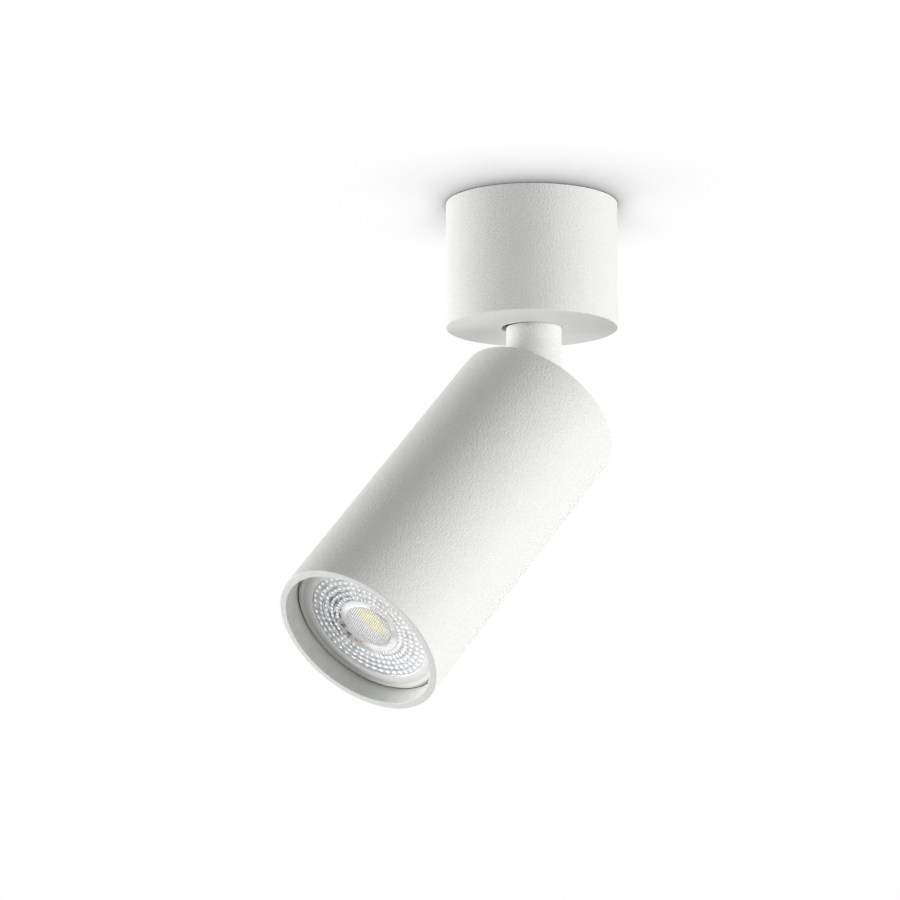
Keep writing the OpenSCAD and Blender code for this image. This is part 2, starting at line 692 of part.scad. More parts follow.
// Arc that a pin sweeps as the lamp twists, with a round at each end
module twist_slot(r, h) {
    rotate([0, 0, 90 - lamp_twist]) rotate_extrude(angle = lamp_twist, $fn = big_fn)
        translate([pin_pitch / 2 - r + slot_ease, 0]) square([2 * (r - slot_ease), h]);
    for (turn = [90, 90 - lamp_twist]) rotate([0, 0, turn]) translate([pin_pitch / 2, 0, 0])
        cylinder(r = r, h = h, $fn = small_fn);
}

module lampholder() color("#ECE9E0") in_head() difference() {
    translate([0, 0, holder_front]) cylinder(r = holder_r, h = holder_h, $fn = big_fn);
    both_ends() {
        translate([0, 0, holder_front - overrun]) twist_slot(pin_r + slot_gap, holder_wall + 2 * overrun);
        rotate([0, 0, 90 - lamp_twist]) translate([pin_pitch / 2, 0, holder_front - overrun])
            cylinder(r = pin_head_r + slot_gap, h = holder_wall + 2 * overrun, $fn = small_fn);
        translate([0, 0, holder_front + holder_wall]) twist_slot(pin_head_r + cavity_gap, cavity_h);
        translate([0, pin_pitch / 2, holder_front + holder_wall])
            cylinder(r = lead_r + slot_gap, h = holder_h, $fn = small_fn);
        translate([holder_screw_x, 0, holder_top - holder_screw_deep])
            cylinder(r = m3_r + thread_gap, h = holder_screw_deep + overrun, $fn = small_fn);
    }
}

module holder_contacts() color(brass) in_head() both_ends()
    translate([-contact_w / 2, pin_pitch / 2 - contact_w / 2, lead_end - contact_t])
        cube([contact_w, contact_w, contact_t]);

module retaining_ring() color(white_paint) in_head() {
    back = ring_z + ring_len;
    groove_z = ring_z + grip_back;
    groove_h = grip_r + grip_gap;
    groove_r = grip_centre - grip_r - thread_gap;
    rotate_extrude($fn = big_fn) polygon([
        [ring_out_r, ring_z],
        [ring_out_r, groove_z - groove_h], [groove_r, groove_z - groove_h],
        [groove_r, groove_z + groove_h], [ring_out_r, groove_z + groove_h],
        [ring_out_r, back], [ring_in_r, back],
        [ring_in_r, ring_z + 2 * ring_step],
        [ring_in_r + ring_land, ring_z + 2 * ring_step], [ring_in_r + ring_land, ring_z + ring_step],
        [ring_in_r + 2 * ring_land, ring_z + ring_step], [ring_in_r + 2 * ring_land, ring_z]]);
}

module grip_ring() color("#3A3A3A") in_head() translate([0, 0, ring_z + grip_back])
    rotate_extrude($fn = big_fn) translate([grip_centre, 0]) circle(r = grip_r, $fn = small_fn);

module lamp_housing() color("#F6F6F3") in_head() rotate_extrude($fn = big_fn) polygon([
    [lens_r + thread_gap, lamp_face],
    [lamp_r, lamp_face],
    [lamp_r, lamp_face + lamp_band],
    [lamp_neck_r, cone_top - base_plug],
    [lamp_neck_r, cone_top],
    [base_r + thread_gap, cone_top],
    [base_r + thread_gap, cone_top - base_plug],
    [lamp_neck_r - lamp_shell, cone_top - base_plug],
    [lamp_r - lamp_shell, lamp_face + lamp_band],
    [lamp_r - lamp_shell, lamp_face + lens_sink + lens_t],
    [lens_r + thread_gap, lamp_face + lens_sink + lens_t]]);

module lamp_base() color("#EDEDEA") in_head() difference() {
    translate([0, 0, cone_top - base_plug]) cylinder(r = base_r, h = base_h + base_plug, $fn = big_fn);
    translate([0, 0, cone_top - base_plug - overrun])
        cylinder(r = base_r - lamp_shell, h = base_h + base_plug - 2 * lamp_shell + overrun, $fn = big_fn);
    both_ends() translate([0, pin_pitch / 2, base_end - 3 * lamp_shell])
        cylinder(r = pin_r + thread_gap, h = 4 * lamp_shell, $fn = small_fn);
}

module lamp_pins() color(bright_steel) in_head() both_ends() translate([0, pin_pitch / 2, base_end]) {
    translate([0, 0, -3 * lamp_shell]) cylinder(r = pin_r, h = 3 * lamp_shell + pin_neck, $fn = small_fn);
    translate([0, 0, pin_neck]) cylinder(r = pin_head_r, h = pin_head_t, $fn = small_fn);
}

module heat_spreader() color("#B9BBBD") in_head() translate([0, 0, board_z + board_t]) difference() {
    cylinder(r = board_r, h = spreader_skirt, $fn = big_fn);
    translate([0, 0, spreader_t])
        cylinder(r = board_r - spreader_t, h = spreader_skirt, $fn = big_fn);
}

module lamp_board() color("#F2F2F0") in_head() translate([0, 0, board_z])
    cylinder(r = board_r, h = board_t, $fn = big_fn);

module led_emitter() color("#F2E24A") in_head() translate([0, 0, board_z - emitter_t]) {
    cylinder(r = emitter_d / 2, h = emitter_t, $fn = big_fn);
    translate([-emitter_d / 2 - emitter_rim, -emitter_d / 2 - emitter_rim, emitter_t / 2])
        cube([emitter_d + 2 * emitter_rim, emitter_d + 2 * emitter_rim, emitter_t / 2]);
}

module board_parts() color("#8C7A5C") in_head() for (i = [0:part_count - 1])
    rotate([0, 0, 360 * i / part_count]) translate([board_r * part_ring_share, -part_w / 2, board_z - part_t])
        cube([part_len, part_w, part_t]);

module lamp_lens() color([0.9, 0.93, 0.95, 0.5]) in_head() {
    front = lamp_face + lens_sink;
    field_r = lens_r * lens_field_share;
    core_r = lens_r * lens_core_share;
    rotate_extrude($fn = big_fn) polygon([
        [0, front - lens_dome + lens_dish],
        [core_r / 2, front - 0.75 * lens_dome + lens_dish],
        [core_r, front + lens_dish],
        [field_r, front + lens_dish / 2],
        [field_r, front],
        [lens_r, front],
        [lens_r, front + lens_t],
        [core_r, front + lens_t],
        [core_r * 0.6, front + lens_core_depth],
        [0, front + lens_core_depth]]);
}

module driver_board() color("#4F7F4C") in_head()
    translate([-driver_w / 2, -driver_t / 2, board_z + board_t + spreader_skirt + driver_gap])
        cube([driver_w, driver_t, base_end - 2 * lamp_shell - board_z - board_t - spreader_skirt - driver_gap]);

module driver_parts() color("#2F3336") in_head()
    translate([0, driver_t / 2, board_z + board_t + spreader_skirt + 2 * driver_gap]) {
        translate([-cap_r, cap_r, 0]) cylinder(r = cap_r, h = cap_len, $fn = small_fn);
        translate([driver_gap / 2, 0, 0]) cube([coil_w / 2, coil_t, coil_len]);
    }

canopy_shell();
ceiling_bracket();
canopy_grub_screws();
stem_bridge();
bridge_screws();
terminal_block();
terminal_sleeves();
terminal_screws();
terminal_fixing_screw();
earth_screw();
earth_lug();
earth_lead();
line_lead_upper();
neutral_lead_upper();
swivel_friction_washer();
swivel_stop_pin();
stem();
stem_spring_washer();
stem_nut();
stem_lead_sleeve();
pivot_screws();
pivot_washers();
head_tube();
pivot_carrier();
carrier_retaining_ring();
head_lead_sleeve();
line_lead_lower();
neutral_lead_lower();
lampholder_bracket();
bracket_screws();
lampholder();
holder_screws();
holder_contacts();
retaining_ring();
grip_ring();
lamp_housing();
lamp_base();
lamp_pins();
heat_spreader();
lamp_board();
board_parts();
led_emitter();
lamp_lens();
driver_board();
driver_parts();
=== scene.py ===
"""Looks of the surface mounted ceiling spotlight.

Materials for every solid, the lamp's fine detail, the ceiling, the lamps and the camera. Blender works in
metres. Sizes of the object and of its patterns are in millimetres here, and those of the head are in its
own frame.
"""

import json
import math

import bmesh
import bpy
from mathutils import Matrix, Vector


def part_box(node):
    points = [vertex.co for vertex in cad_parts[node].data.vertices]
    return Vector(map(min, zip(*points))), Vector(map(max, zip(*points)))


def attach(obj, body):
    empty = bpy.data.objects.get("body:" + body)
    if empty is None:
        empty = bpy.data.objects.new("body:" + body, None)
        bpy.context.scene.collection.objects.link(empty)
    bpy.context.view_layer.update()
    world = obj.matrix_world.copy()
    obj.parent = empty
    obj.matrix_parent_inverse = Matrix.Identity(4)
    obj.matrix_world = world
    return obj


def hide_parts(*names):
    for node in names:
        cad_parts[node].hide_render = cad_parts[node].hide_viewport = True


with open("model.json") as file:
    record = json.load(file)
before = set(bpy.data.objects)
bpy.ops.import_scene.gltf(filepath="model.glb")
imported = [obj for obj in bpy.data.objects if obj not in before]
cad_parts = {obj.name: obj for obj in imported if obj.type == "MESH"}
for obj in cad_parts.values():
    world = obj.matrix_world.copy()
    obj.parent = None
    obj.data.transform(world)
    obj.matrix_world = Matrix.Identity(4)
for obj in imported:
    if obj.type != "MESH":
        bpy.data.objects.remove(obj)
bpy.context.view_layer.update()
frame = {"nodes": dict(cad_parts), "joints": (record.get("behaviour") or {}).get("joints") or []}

MM = 0.001
TURN = 2 * math.pi

# Millimetres by which a test of place allows for rounding
SLACK = 0.1

# Head's own frame: the pivot at zero and the mouth towards -Z, in millimetres. The lamp twists about its axis
joints = {joint["name"]: joint for joint in frame["joints"]}
PIVOT_Z = joints["tilt"]["pos_m"][2] / MM
_, outward, up = joints["lamp_twist"]["axis"]
TILT = math.atan2(-outward, -up)
HEAD = Matrix.Translation((0, 0, PIVOT_Z * MM)) @ Matrix.Rotation(-TILT, 4, "X") @ Matrix.Scale(MM, 4)


def in_head(node):
    """A CAD node's lowest and highest place along the head, and its largest radius."""
    to_head = HEAD.inverted()
    points = [to_head @ vertex.co for vertex in frame["nodes"][node].data.vertices]
    heights = [point.z for point in points]
    return min(heights), max(heights), max(point.xy.length for point in points)


# Places and sizes that the new pieces and the patterns follow
CANOPY_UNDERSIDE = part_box("canopy_shell")[0][2] / MM
LENS_SEAT_R = in_head("lamp_lens")[2]
LAMP_FACE = in_head("lamp_housing")[0]
BOARD_Z = in_head("lamp_board")[0]
RING_FRONT, RING_BACK, _ = in_head("retaining_ring")
BORE_R = 27.5
BRACKET_TURN = math.radians(47.4)

# Lens: it stands a little out of the lamp's face. Its back's depths are at the seat and in the middle
LENS_FRONT = LAMP_FACE - 0.06
LENS_R = 24.7
LENS_BACK = 2.46
LENS_MIDDLE = 3.86

# Small lenses: rings of cells round a core with a fine array
CORE_R = 8.5
CELLS_INNER = 11.05
CELL_PITCH = 2.15
CELL_RINGS = 5
CELLS_OUTER = CELLS_INNER + CELL_RINGS * CELL_PITCH
CELLS_ROUND = 48
CELL_RISE = 0.26
DOT_PITCH = 0.8
DOT_RISE = 0.07
FLUTES = 78

# Directions round the lamp's axis, in degrees: the lower painted reflection crescent, the window in the
# cells, the cells' side with painted shade and their light side
CRESCENT = 87
WINDOW = 155
SHADED = 218
LIT = 80

# Half of the window's angle, and its outer radius
WINDOW_HALF = 50
WINDOW_R = CELLS_INNER + CELL_PITCH

# Painted yellow glow of the emitter on the core: middle and reach of each patch
PAINTED_EMITTER_GLOWS = (((2.2, -4.6), 3.7), ((4.4, 1.2), 3.7), ((5.6, -2.2), 2.6))


# Nodes

def add(tree, kind, inputs=None, **settings):
    """A new node. An input has a name or number, and is a value or the socket that feeds it."""
    node = tree.nodes.new("ShaderNode" + kind)
    for name, value in settings.items():
        setattr(node, name, value)
    for name, value in (inputs or {}).items():
        if isinstance(value, bpy.types.NodeSocket):
            tree.links.new(value, node.inputs[name])
        else:
            node.inputs[name].default_value = value
    return node


def maths(tree, operation, a, b=0.0, c=0.0):
    return add(tree, "Math", {0: a, 1: b, 2: c}, operation=operation).outputs[0]


def swing(tree, value, middle, width):
    """From half the width under the middle to half over it, as value goes from 0 to 1."""
    return maths(tree, "MULTIPLY_ADD", value, width, middle - width / 2)


def product(tree, *factors):
    """All the factors, multiplied."""
    result = factors[0]
    for factor in factors[1:]:
        result = maths(tree, "MULTIPLY", result, factor)
    return result


def mix(tree, factor, a, b, blend="MIX"):
    """Colour a where the factor is 0 and b where it is 1. The node's colours are its sockets 6, 7 and 2."""
    return add(tree, "Mix", {0: factor, 6: a, 7: b}, data_type="RGBA", blend_type=blend).outputs[2]


def ramp(tree, value, *stops):
    """Grey level over value, from (place, level) stops."""
    node = add(tree, "ValToRGB", {"Fac": value})
    band = node.color_ramp.elements
    while len(band) < len(stops):
        band.new(0.5)
    for element, (place, level) in zip(band, stops):
        element.position = place
        element.color = (level, level, level, 1)
    return node.outputs["Color"]


def noise(tree, place, scale, detail=2.0, roughness=0.5):
    node = add(tree, "TexNoise", {"Vector": place, "Scale": scale, "Detail": detail, "Roughness": roughness})
    return node.outputs["Fac"]


# How a pattern's place turns and moves from the part's frame into another
FRAMES = {
    "part": {},
    "bracket": {"Rotation": (0, 0, -BRACKET_TURN)},
    "head": {"Rotation": (TILT, 0, 0), "Location": (0, PIVOT_Z * math.sin(TILT), -PIVOT_Z * math.cos(TILT))}}


def place_mm(tree, where="part"):
    """The place on the piece in millimetres, in one of the frames."""
    own = add(tree, "TexCoord").outputs["Object"]
    to_frame = {"Vector": own, "Scale": (1 / MM, 1 / MM, 1 / MM), **FRAMES[where]}
    return add(tree, "Mapping", to_frame).outputs["Vector"]


def split(tree, place):
    """The place's x, y and z."""
    return add(tree, "SeparateXYZ", {0: place}).outputs


def squares(tree, a, b):
    """Sum of the two squares."""
    return maths(tree, "ADD", maths(tree, "MULTIPLY", a, a), maths(tree, "MULTIPLY", b, b))


def centred(tree, value, count=1.0):
    """Place between -1 and 1 within each of the count cells of a unit."""
    cells = maths(tree, "FRACT", maths(tree, "MULTIPLY", value, count))
    return maths(tree, "MULTIPLY_ADD", cells, 2.0, -1.0)


def toward(tree, turns, degrees):
    """Cosine of the angle from a direction round the axis."""
    return maths(tree, "COSINE", maths(tree, "MULTIPLY_ADD", turns, TURN, -math.radians(degrees)))


def polar(tree, place):
    """Distance from the piece's axis, and the angle round it in turns."""
    x, y, _ = split(tree, place)
    return maths(tree, "SQRT", squares(tree, x, y)), maths(tree, "DIVIDE", maths(tree, "ARCTAN2", y, x), TURN)


def stretched(tree, place, scale):
    """The place with each of its numbers scaled."""
    return add(tree, "Mapping", {"Vector": place, "Scale": scale}).outputs["Vector"]


def bump(tree, height, depth_mm, before=None):
    """Normal with a relief of that depth, laid over the normal before it."""
    inputs = {"Height": height, "Distance": depth_mm * MM}
    if before is not None:
        inputs["Normal"] = before
    return add(tree, "Bump", inputs).outputs["Normal"]


def new_material(name):
    material = bpy.data.materials.new(name)
    material.use_nodes = True
    material.node_tree.nodes.clear()
    return material, material.node_tree


def patterned(name, where="part"):
    """A new material, its node tree, and the place that its patterns follow."""
    material, tree = new_material(name)
    return material, tree, place_mm(tree, where)


def finish(tree, shader):
    tree.links.new(shader, add(tree, "OutputMaterial").inputs["Surface"])


def surface(tree, colour, roughness, normal, **more):
    """Finishes a material with the Principled shader. Further inputs have underscores for spaces."""
    inputs = {"Base Color": colour, "Roughness": roughness, "Normal": normal}
    inputs.update({name.replace("_", " "): value for name, value in more.items()})
    finish(tree, add(tree, "BsdfPrincipled", inputs).outputs["BSDF"])


def grey(level, warmth=0.0):
    """A grey, or with warmth a little redder and less blue."""
    return (level + warmth, level, level - warmth, 1)


def darker(colour, share):
    """That share of the colour."""
    return tuple(c * share for c in colour[:3]) + (1,)


# Materials

# Paint: outside, darker and streaked in the bore, greyer behind the retaining ring, and near-black painted
# shade in the gap round the ring. The stem's hidden upper end in the canopy's hole is painted shade too.
PAINT = ((0.832, 0.834, 0.812, 1), (0.862, 0.864, 0.842, 1))
BORE_STREAK_PAINT = ((0.70, 0.715, 0.68, 1), (0.90, 0.91, 0.88, 1))
REAR_PAINT = (0.52, 0.525, 0.51, 1)
UNLIT = grey(0.05)
UNLIT_FRONT = RING_FRONT + 0.8
HOLE_SHADE = grey(0.02)

# Paint's grain: its scale and depth, and how many times longer than wide the streaks in the bore are
GRAIN_SCALE = 1.6
GRAIN_DEPTH = 0.25
STREAK_LENGTH = 20

ZINC = ((0.62, 0.63, 0.65, 1), (0.76, 0.77, 0.78, 1))
STEATITE = ((0.80, 0.77, 0.70, 1), (0.86, 0.84, 0.78, 1))
STEATITE_SPECK = (0.55, 0.50, 0.43, 1)
GLASS_FIBRE = ((0.55, 0.52, 0.45, 1), (0.86, 0.84, 0.78, 1))

# Woven sleeve: strands round it, and radians of the weave for each millimetre along it
STRANDS = 5
WEAVE = 3.2

# Lamp board: its solder mask, darker and lighter, the edges of the tracks under it, and the tracks' pitch
MASK = (grey(0.66), grey(0.72))
TRACK_EDGE = grey(0.50)
TRACK_PITCH = 7.0

# Emitter: the yellow disc's radius, its two tints, and the white round it
PHOSPHOR_R = 4.2
PHOSPHOR = ((0.85, 0.79, 0.36, 1), (0.80, 0.79, 0.66, 1))
EMITTER_WHITE = grey(0.82)

STEEL = (0.70, 0.71, 0.72, 1)
DARK_STEEL = (0.50, 0.51, 0.53, 1)
BRASS = (0.78, 0.60, 0.28, 1)
WHITE_PLASTIC = grey(0.84, 0.004)
NYLON = (0.84, 0.84, 0.80, 1)


def bore_coat(tree, place, colour, normal):
    """Colour and normal: the tube's inside darker and streaked, with painted shade in the ring's gap."""
    radius, turns = polar(tree, place)
    depth = split(tree, place)[2]
    inside = maths(tree, "LESS_THAN", radius, BORE_R + SLACK)
    unrolled = add(tree, "CombineXYZ", {
        0: maths(tree, "MULTIPLY", turns, TURN * BORE_R),
        1: maths(tree, "MULTIPLY", depth, 1 / STREAK_LENGTH)})
    streak = noise(tree, unrolled.outputs[0], 3.0, detail=3.0, roughness=0.7)
    brushed = mix(tree, ramp(tree, streak, (0.3, 0.0), (0.7, 1.0)), *BORE_STREAK_PAINT)
    # Painted shade: near-black in the gap behind the retaining ring's front
    unlit = maths(tree, "COMPARE", depth, (UNLIT_FRONT + RING_BACK) / 2, (RING_BACK - UNLIT_FRONT) / 2)
    bore_paint = mix(tree, maths(tree, "GREATER_THAN", depth, RING_BACK), brushed, REAR_PAINT)
    colour = mix(tree, inside, colour, mix(tree, unlit, bore_paint, UNLIT))
    return colour, bump(tree, maths(tree, "MULTIPLY", streak, inside), 0.03, normal)


def powder_coat(name, where="part", bore=False, shade_above=None):
    """White fine-textured paint, with near-black painted shade above a given height, in the canopy's hole."""
    material, tree, place = patterned(name, where)
    grain = noise(tree, place, GRAIN_SCALE)
    cells = add(tree, "TexVoronoi", {"Vector": place, "Scale": 1.5}, feature="SMOOTH_F1").outputs["Distance"]
    colour = mix(tree, noise(tree, place, 0.12, detail=3.0), *PAINT)
    # Painted shade: the grain's hollows are darker
    hollow_shade = ramp(tree, grain, (0.32, 0.925), (0.62, 1.0))
    colour = mix(tree, 1.0, colour, hollow_shade, "MULTIPLY")
    normal = bump(tree, cells, 0.03, bump(tree, grain, GRAIN_DEPTH))
    roughness = swing(tree, grain, 0.575, 0.15)
    if bore:
        colour, normal = bore_coat(tree, place, colour, normal)
    if shade_above is not None:
        # Painted shade where the stem goes up into the canopy's hole
        hole_shade = maths(tree, "GREATER_THAN", split(tree, place)[2], shade_above)
        colour = mix(tree, hole_shade, colour, HOLE_SHADE)
    surface(tree, colour, roughness, normal, Specular_IOR_Level=0.05)
    return material


def metal(name, colour, roughness, where="part", along=(1, 1, 1), tarnish=0.12, scale=2.0, depth_mm=0.01):
    """Plain metal with a directional grain and cloudy tarnish."""
    material, tree, place = patterned(name, where)
    grain = noise(tree, stretched(tree, place, along), scale, detail=4.0, roughness=0.65)
    cloud = noise(tree, place, 0.25, detail=3.0)
    shade = mix(tree, cloud, colour, darker(colour, 1 - tarnish))
    level = swing(tree, grain, roughness, 0.18)
    surface(tree, shade, level, bump(tree, grain, depth_mm), Metallic=1.0)
    return material


def spangle(name, where="part"):
    """Zinc-coated sheet with faint crystals."""
    material, tree, place = patterned(name, where)
    crystal = add(tree, "TexVoronoi", {"Vector": place, "Scale": 0.35}).outputs["Color"]
    level = add(tree, "SeparateColor", {0: crystal}).outputs[0]
    fine = noise(tree, place, 4.0, detail=3.0)
    shade = mix(tree, level, *ZINC)
    roughness = swing(tree, level, 0.38, 0.16)
    surface(tree, shade, roughness, bump(tree, fine, 0.008), Metallic=1.0)
    return material


def plastic(name, colour, roughness, where="part", second=None, scale=0.8, depth_mm=0.01, **more):
    """Moulded or fired material with faint clouds and a fine surface."""
    material, tree, place = patterned(name, where)
    cloud = noise(tree, place, scale, detail=3.0)
    fine = noise(tree, place, 5.0)
    shade = mix(tree, cloud, colour, second or darker(colour, 0.94))
    level = swing(tree, fine, roughness, 0.12)
    surface(tree, shade, level, bump(tree, fine, depth_mm), **more)
    return material


def ceramic():
    """Unglazed steatite: off-white with specks."""
    material, tree, place = patterned("ceramic", "head")
    speck = ramp(tree, noise(tree, place, 2.2, detail=4.0, roughness=0.7), (0.60, 0.0), (0.72, 1.0))
    cloud = noise(tree, place, 0.3, detail=3.0)
    base = mix(tree, cloud, *STEATITE)
    shade = mix(tree, speck, base, STEATITE_SPECK)
    fine = noise(tree, place, 3.5, detail=3.0)
    surface(tree, shade, 0.62, bump(tree, fine, 0.03))
    return material


def insulation(name, colour, stripe=None, where="part"):
    """Silicone insulation, with a second colour wound round it if there is one."""
    material, tree, place = patterned(name, where)
    cloud = noise(tree, place, 0.9)
    shade = mix(tree, cloud, colour, darker(colour, 0.82))
    if stripe:
        wave = add(
            tree, "TexWave", {"Vector": place, "Scale": 0.09, "Distortion": 0.4}, bands_direction="DIAGONAL")
        shade = mix(tree, ramp(tree, wave.outputs["Fac"], (0.48, 0.0), (0.52, 1.0)), shade, stripe)
    surface(tree, shade, 0.42, bump(tree, noise(tree, place, 3.0), 0.01))
    return material


def braid(name, where="part"):
    """Woven glass-fibre sleeving: two sets of strands that cross at a slant."""
    material, tree, place = patterned(name, where)
    x, y, z = split(tree, place)
    angle = maths(tree, "MULTIPLY", maths(tree, "ARCTAN2", y, x), STRANDS)
    up = maths(tree, "MULTIPLY", z, WEAVE)
    one = maths(tree, "SINE", maths(tree, "ADD", up, angle))
    other = maths(tree, "SINE", maths(tree, "SUBTRACT", up, angle))
    weave = maths(tree, "MULTIPLY_ADD", maths(tree, "MAXIMUM", one, other), 0.5, 0.5)
    shade = mix(tree, weave, *GLASS_FIBRE)
    surface(tree, shade, 0.8, bump(tree, weave, 0.15), Sheen_Weight=0.2)
    return material


# Lens: the light that it lets through for the lamps, and the colours of its spots and dots, which are painted
# highlights, of its crescents, which are painted reflections, and of what shows between them
LAMP_LIGHT_THROUGH = (0.75, 0.76, 0.76, 1)
PAINTED_CELL_HIGHLIGHT = (0.93, 0.95, 0.97, 1)
CELL_GROUND = (0.86, 0.88, 0.90, 1)
# Near-black painted shade in the dark arcs between the small lenses
PAINTED_ARC_SHADE = grey(0.06)
PAINTED_CRESCENT_REFLECTION = grey(0.96)
FLUTE_GAP = grey(0.45)
# Painted highlights of the core's dots, white, and yellow where the emitter's glow is painted
DOT_HIGHLIGHTS = (grey(0.96), (0.92, 0.90, 0.64, 1))
DOT_GROUND = (grey(0.49), (0.66, 0.66, 0.58, 1))

# How many times longer than wide the painted shade arcs between the small lenses are drawn
ARC_STRETCH = 2.5


def optic(name, look, clear, roughness, ior=1.3, coat=0.5):
    """Clear acrylic. Its look gives colour, share of total reflection and normal. Lamps shine through it."""
    material, tree, place = patterned(name, "head")
    colour, mirror, normal = look(tree, place)
    glass = add(tree, "BsdfPrincipled", {
        "Base Color": colour, "Roughness": roughness, "IOR": ior, "Metallic": mirror,
        "Transmission Weight": clear, "Coat Weight": coat, "Coat Roughness": 0.08, "Normal": normal})
    through = add(tree, "BsdfTransparent", {"Color": LAMP_LIGHT_THROUGH}).outputs[0]
    to_lamp = add(tree, "LightPath").outputs["Is Shadow Ray"]
    blend = add(tree, "MixShader", {0: to_lamp, 1: glass.outputs["BSDF"], 2: through})
    finish(tree, blend.outputs[0])
    return material


def back_look(tree, place):
    """Smooth clear face on the lamp's inside."""
    cloud = noise(tree, place, 0.3)
    return mix(tree, cloud, grey(0.97), grey(0.93)), 0.0, bump(tree, noise(tree, place, 3.0), 0.002)


def border_look(tree, place):
    """Frosted border."""
    cloud = noise(tree, place, 0.3)
    return mix(tree, cloud, grey(0.95), grey(0.90)), 0.1, bump(tree, noise(tree, place, 3.0), 0.01)


def cell_look(tree, place):
    """A painted highlight in each small lens's middle, and painted shade in dark arcs between the rings."""
    radius, turns = polar(tree, place)
    ring = maths(tree, "DIVIDE", maths(tree, "SUBTRACT", radius, CELLS_INNER), CELL_PITCH)

    # Painted highlight of each small lens, of uneven width
    spread = squares(tree, centred(tree, ring), centred(tree, turns, CELLS_ROUND))
    uneven = noise(tree, place, 1.1, detail=1.0)
    spread = maths(tree, "DIVIDE", spread, maths(tree, "MULTIPLY_ADD", uneven, 1.6, 0.2))
    highlight_spot = ramp(tree, spread, (0.0, 1.0), (0.16, 0.85), (0.42, 0.0))

    # Painted shade: dark arcs drawn out along the rings, between them, and most on the shaded side and near
    # the core
    along = maths(tree, "MULTIPLY", turns, TURN * CELLS_INNER / ARC_STRETCH)
    unrolled = add(tree, "CombineXYZ", {0: along, 1: radius})
    shade_arc = ramp(tree, noise(tree, unrolled.outputs[0], 0.9), (0.47, 1.0), (0.56, 0.0))
    between = ramp(tree, maths(tree, "ABSOLUTE", centred(tree, ring)), (0.15, 0.25), (0.6, 1.0))
    shaded = ramp(tree, toward(tree, turns, SHADED), (0.2, 0.35), (0.9, 1.0))
    inner = ramp(tree, maths(tree, "DIVIDE", ring, CELL_RINGS), (0.35, 1.0), (0.95, 0.15))
    ground = mix(tree, product(tree, shade_arc, between, shaded, inner), CELL_GROUND, PAINTED_ARC_SHADE)
    colour = mix(tree, highlight_spot, ground, PAINTED_CELL_HIGHLIGHT)

    # Reflection, placed on the painted highlights, and over the whole field on its light side
    mirror = maths(tree, "MULTIPLY", highlight_spot, maths(tree, "MULTIPLY_ADD", uneven, 0.9, 0.1))
    lit = maths(tree, "MULTIPLY_ADD", toward(tree, turns, LIT), 0.5, 0.5)
    shine = ramp(tree, lit, (0.5, 0.1), (1.0, 0.42))
    return colour, maths(tree, "MAXIMUM", mirror, shine), bump(tree, uneven, 0.03)


def flute_look(tree, place):
    """Collar round the core: clear but for two painted reflection crescents. The lower one is fluted."""
    radius, turns = polar(tree, place)
    out = maths(tree, "DIVIDE", maths(tree, "SUBTRACT", radius, CORE_R), CELLS_INNER - CORE_R)
    lobe = toward(tree, turns, CRESCENT)

    # Share of painted reflection: both crescents, of which the lower one reaches further out
    lower = maths(tree, "GREATER_THAN", lobe, 0.0)
    wide = maths(tree, "MULTIPLY", ramp(tree, out, (0.9, 1.0), (1.0, 0.6)), lower)
    width = maths(tree, "MAXIMUM", ramp(tree, out, (0.6, 1.0), (1.0, 0.15)), wide)
    lobes = ramp(tree, maths(tree, "ABSOLUTE", lobe), (0.60, 0.06), (0.88, 1.0))

    # Grey gaps between the flutes in the painted reflection, except at the window
    rib = maths(tree, "MULTIPLY", maths(tree, "PINGPONG", maths(tree, "MULTIPLY", turns, FLUTES), 0.5), 2.0)
    window = ramp(tree, toward(tree, turns, WINDOW), (0.55, 1.0), (0.85, 0.0))
    fluted = maths(tree, "MULTIPLY", window, ramp(tree, lobe, (0.0, 0.3), (0.8, 1.0)))
    gap = maths(tree, "MULTIPLY", ramp(tree, rib, (0.0, 1.0), (0.5, 0.0)), fluted)
    colour = mix(tree, gap, PAINTED_CRESCENT_REFLECTION, FLUTE_GAP)
    shine = maths(tree, "MULTIPLY_ADD", gap, -0.85, 1.0)
    return colour, product(tree, width, lobes, shine), bump(tree, gap, 0.03)


def near(tree, x, y, middle, reach):
    """1 at a place on the lamp's face, falling to 0 at reach."""
    away = squares(tree, maths(tree, "SUBTRACT", x, middle[0]), maths(tree, "SUBTRACT", y, middle[1]))
    return ramp(tree, maths(tree, "DIVIDE", away, reach * reach), (0.35, 1.0), (1.0, 0.0))


def dot_look(tree, place):
    """The fine hexagonal array: the nearer of two rectangular arrays, one between the other's points.

    Its dots are painted highlights, with a painted yellow glow where the emitter shows through."""
    x, y, _ = split(tree, place)
    along, across = DOT_PITCH, DOT_PITCH * math.sqrt(3)

    def array(shift):
        a = centred(tree, maths(tree, "ADD", maths(tree, "DIVIDE", y, along), shift))
        b = centred(tree, maths(tree, "ADD", maths(tree, "DIVIDE", x, across), shift))
        return squares(tree, a, maths(tree, "MULTIPLY", b, math.sqrt(3)))

    spread = maths(tree, "MINIMUM", array(0.5), array(0.0))
    highlight_spot = ramp(tree, spread, (0.15, 1.0), (0.7, 0.0))
    emitter_glow = 0.0
    for middle, reach in PAINTED_EMITTER_GLOWS:
        emitter_glow = maths(tree, "MAXIMUM", emitter_glow, near(tree, x, y, middle, reach))
    colour = mix(tree, highlight_spot, mix(tree, emitter_glow, *DOT_GROUND), mix(tree, emitter_glow, *DOT_HIGHLIGHTS))
    return colour, maths(tree, "MULTIPLY", highlight_spot, 0.65), bump(tree, highlight_spot, 0.01)


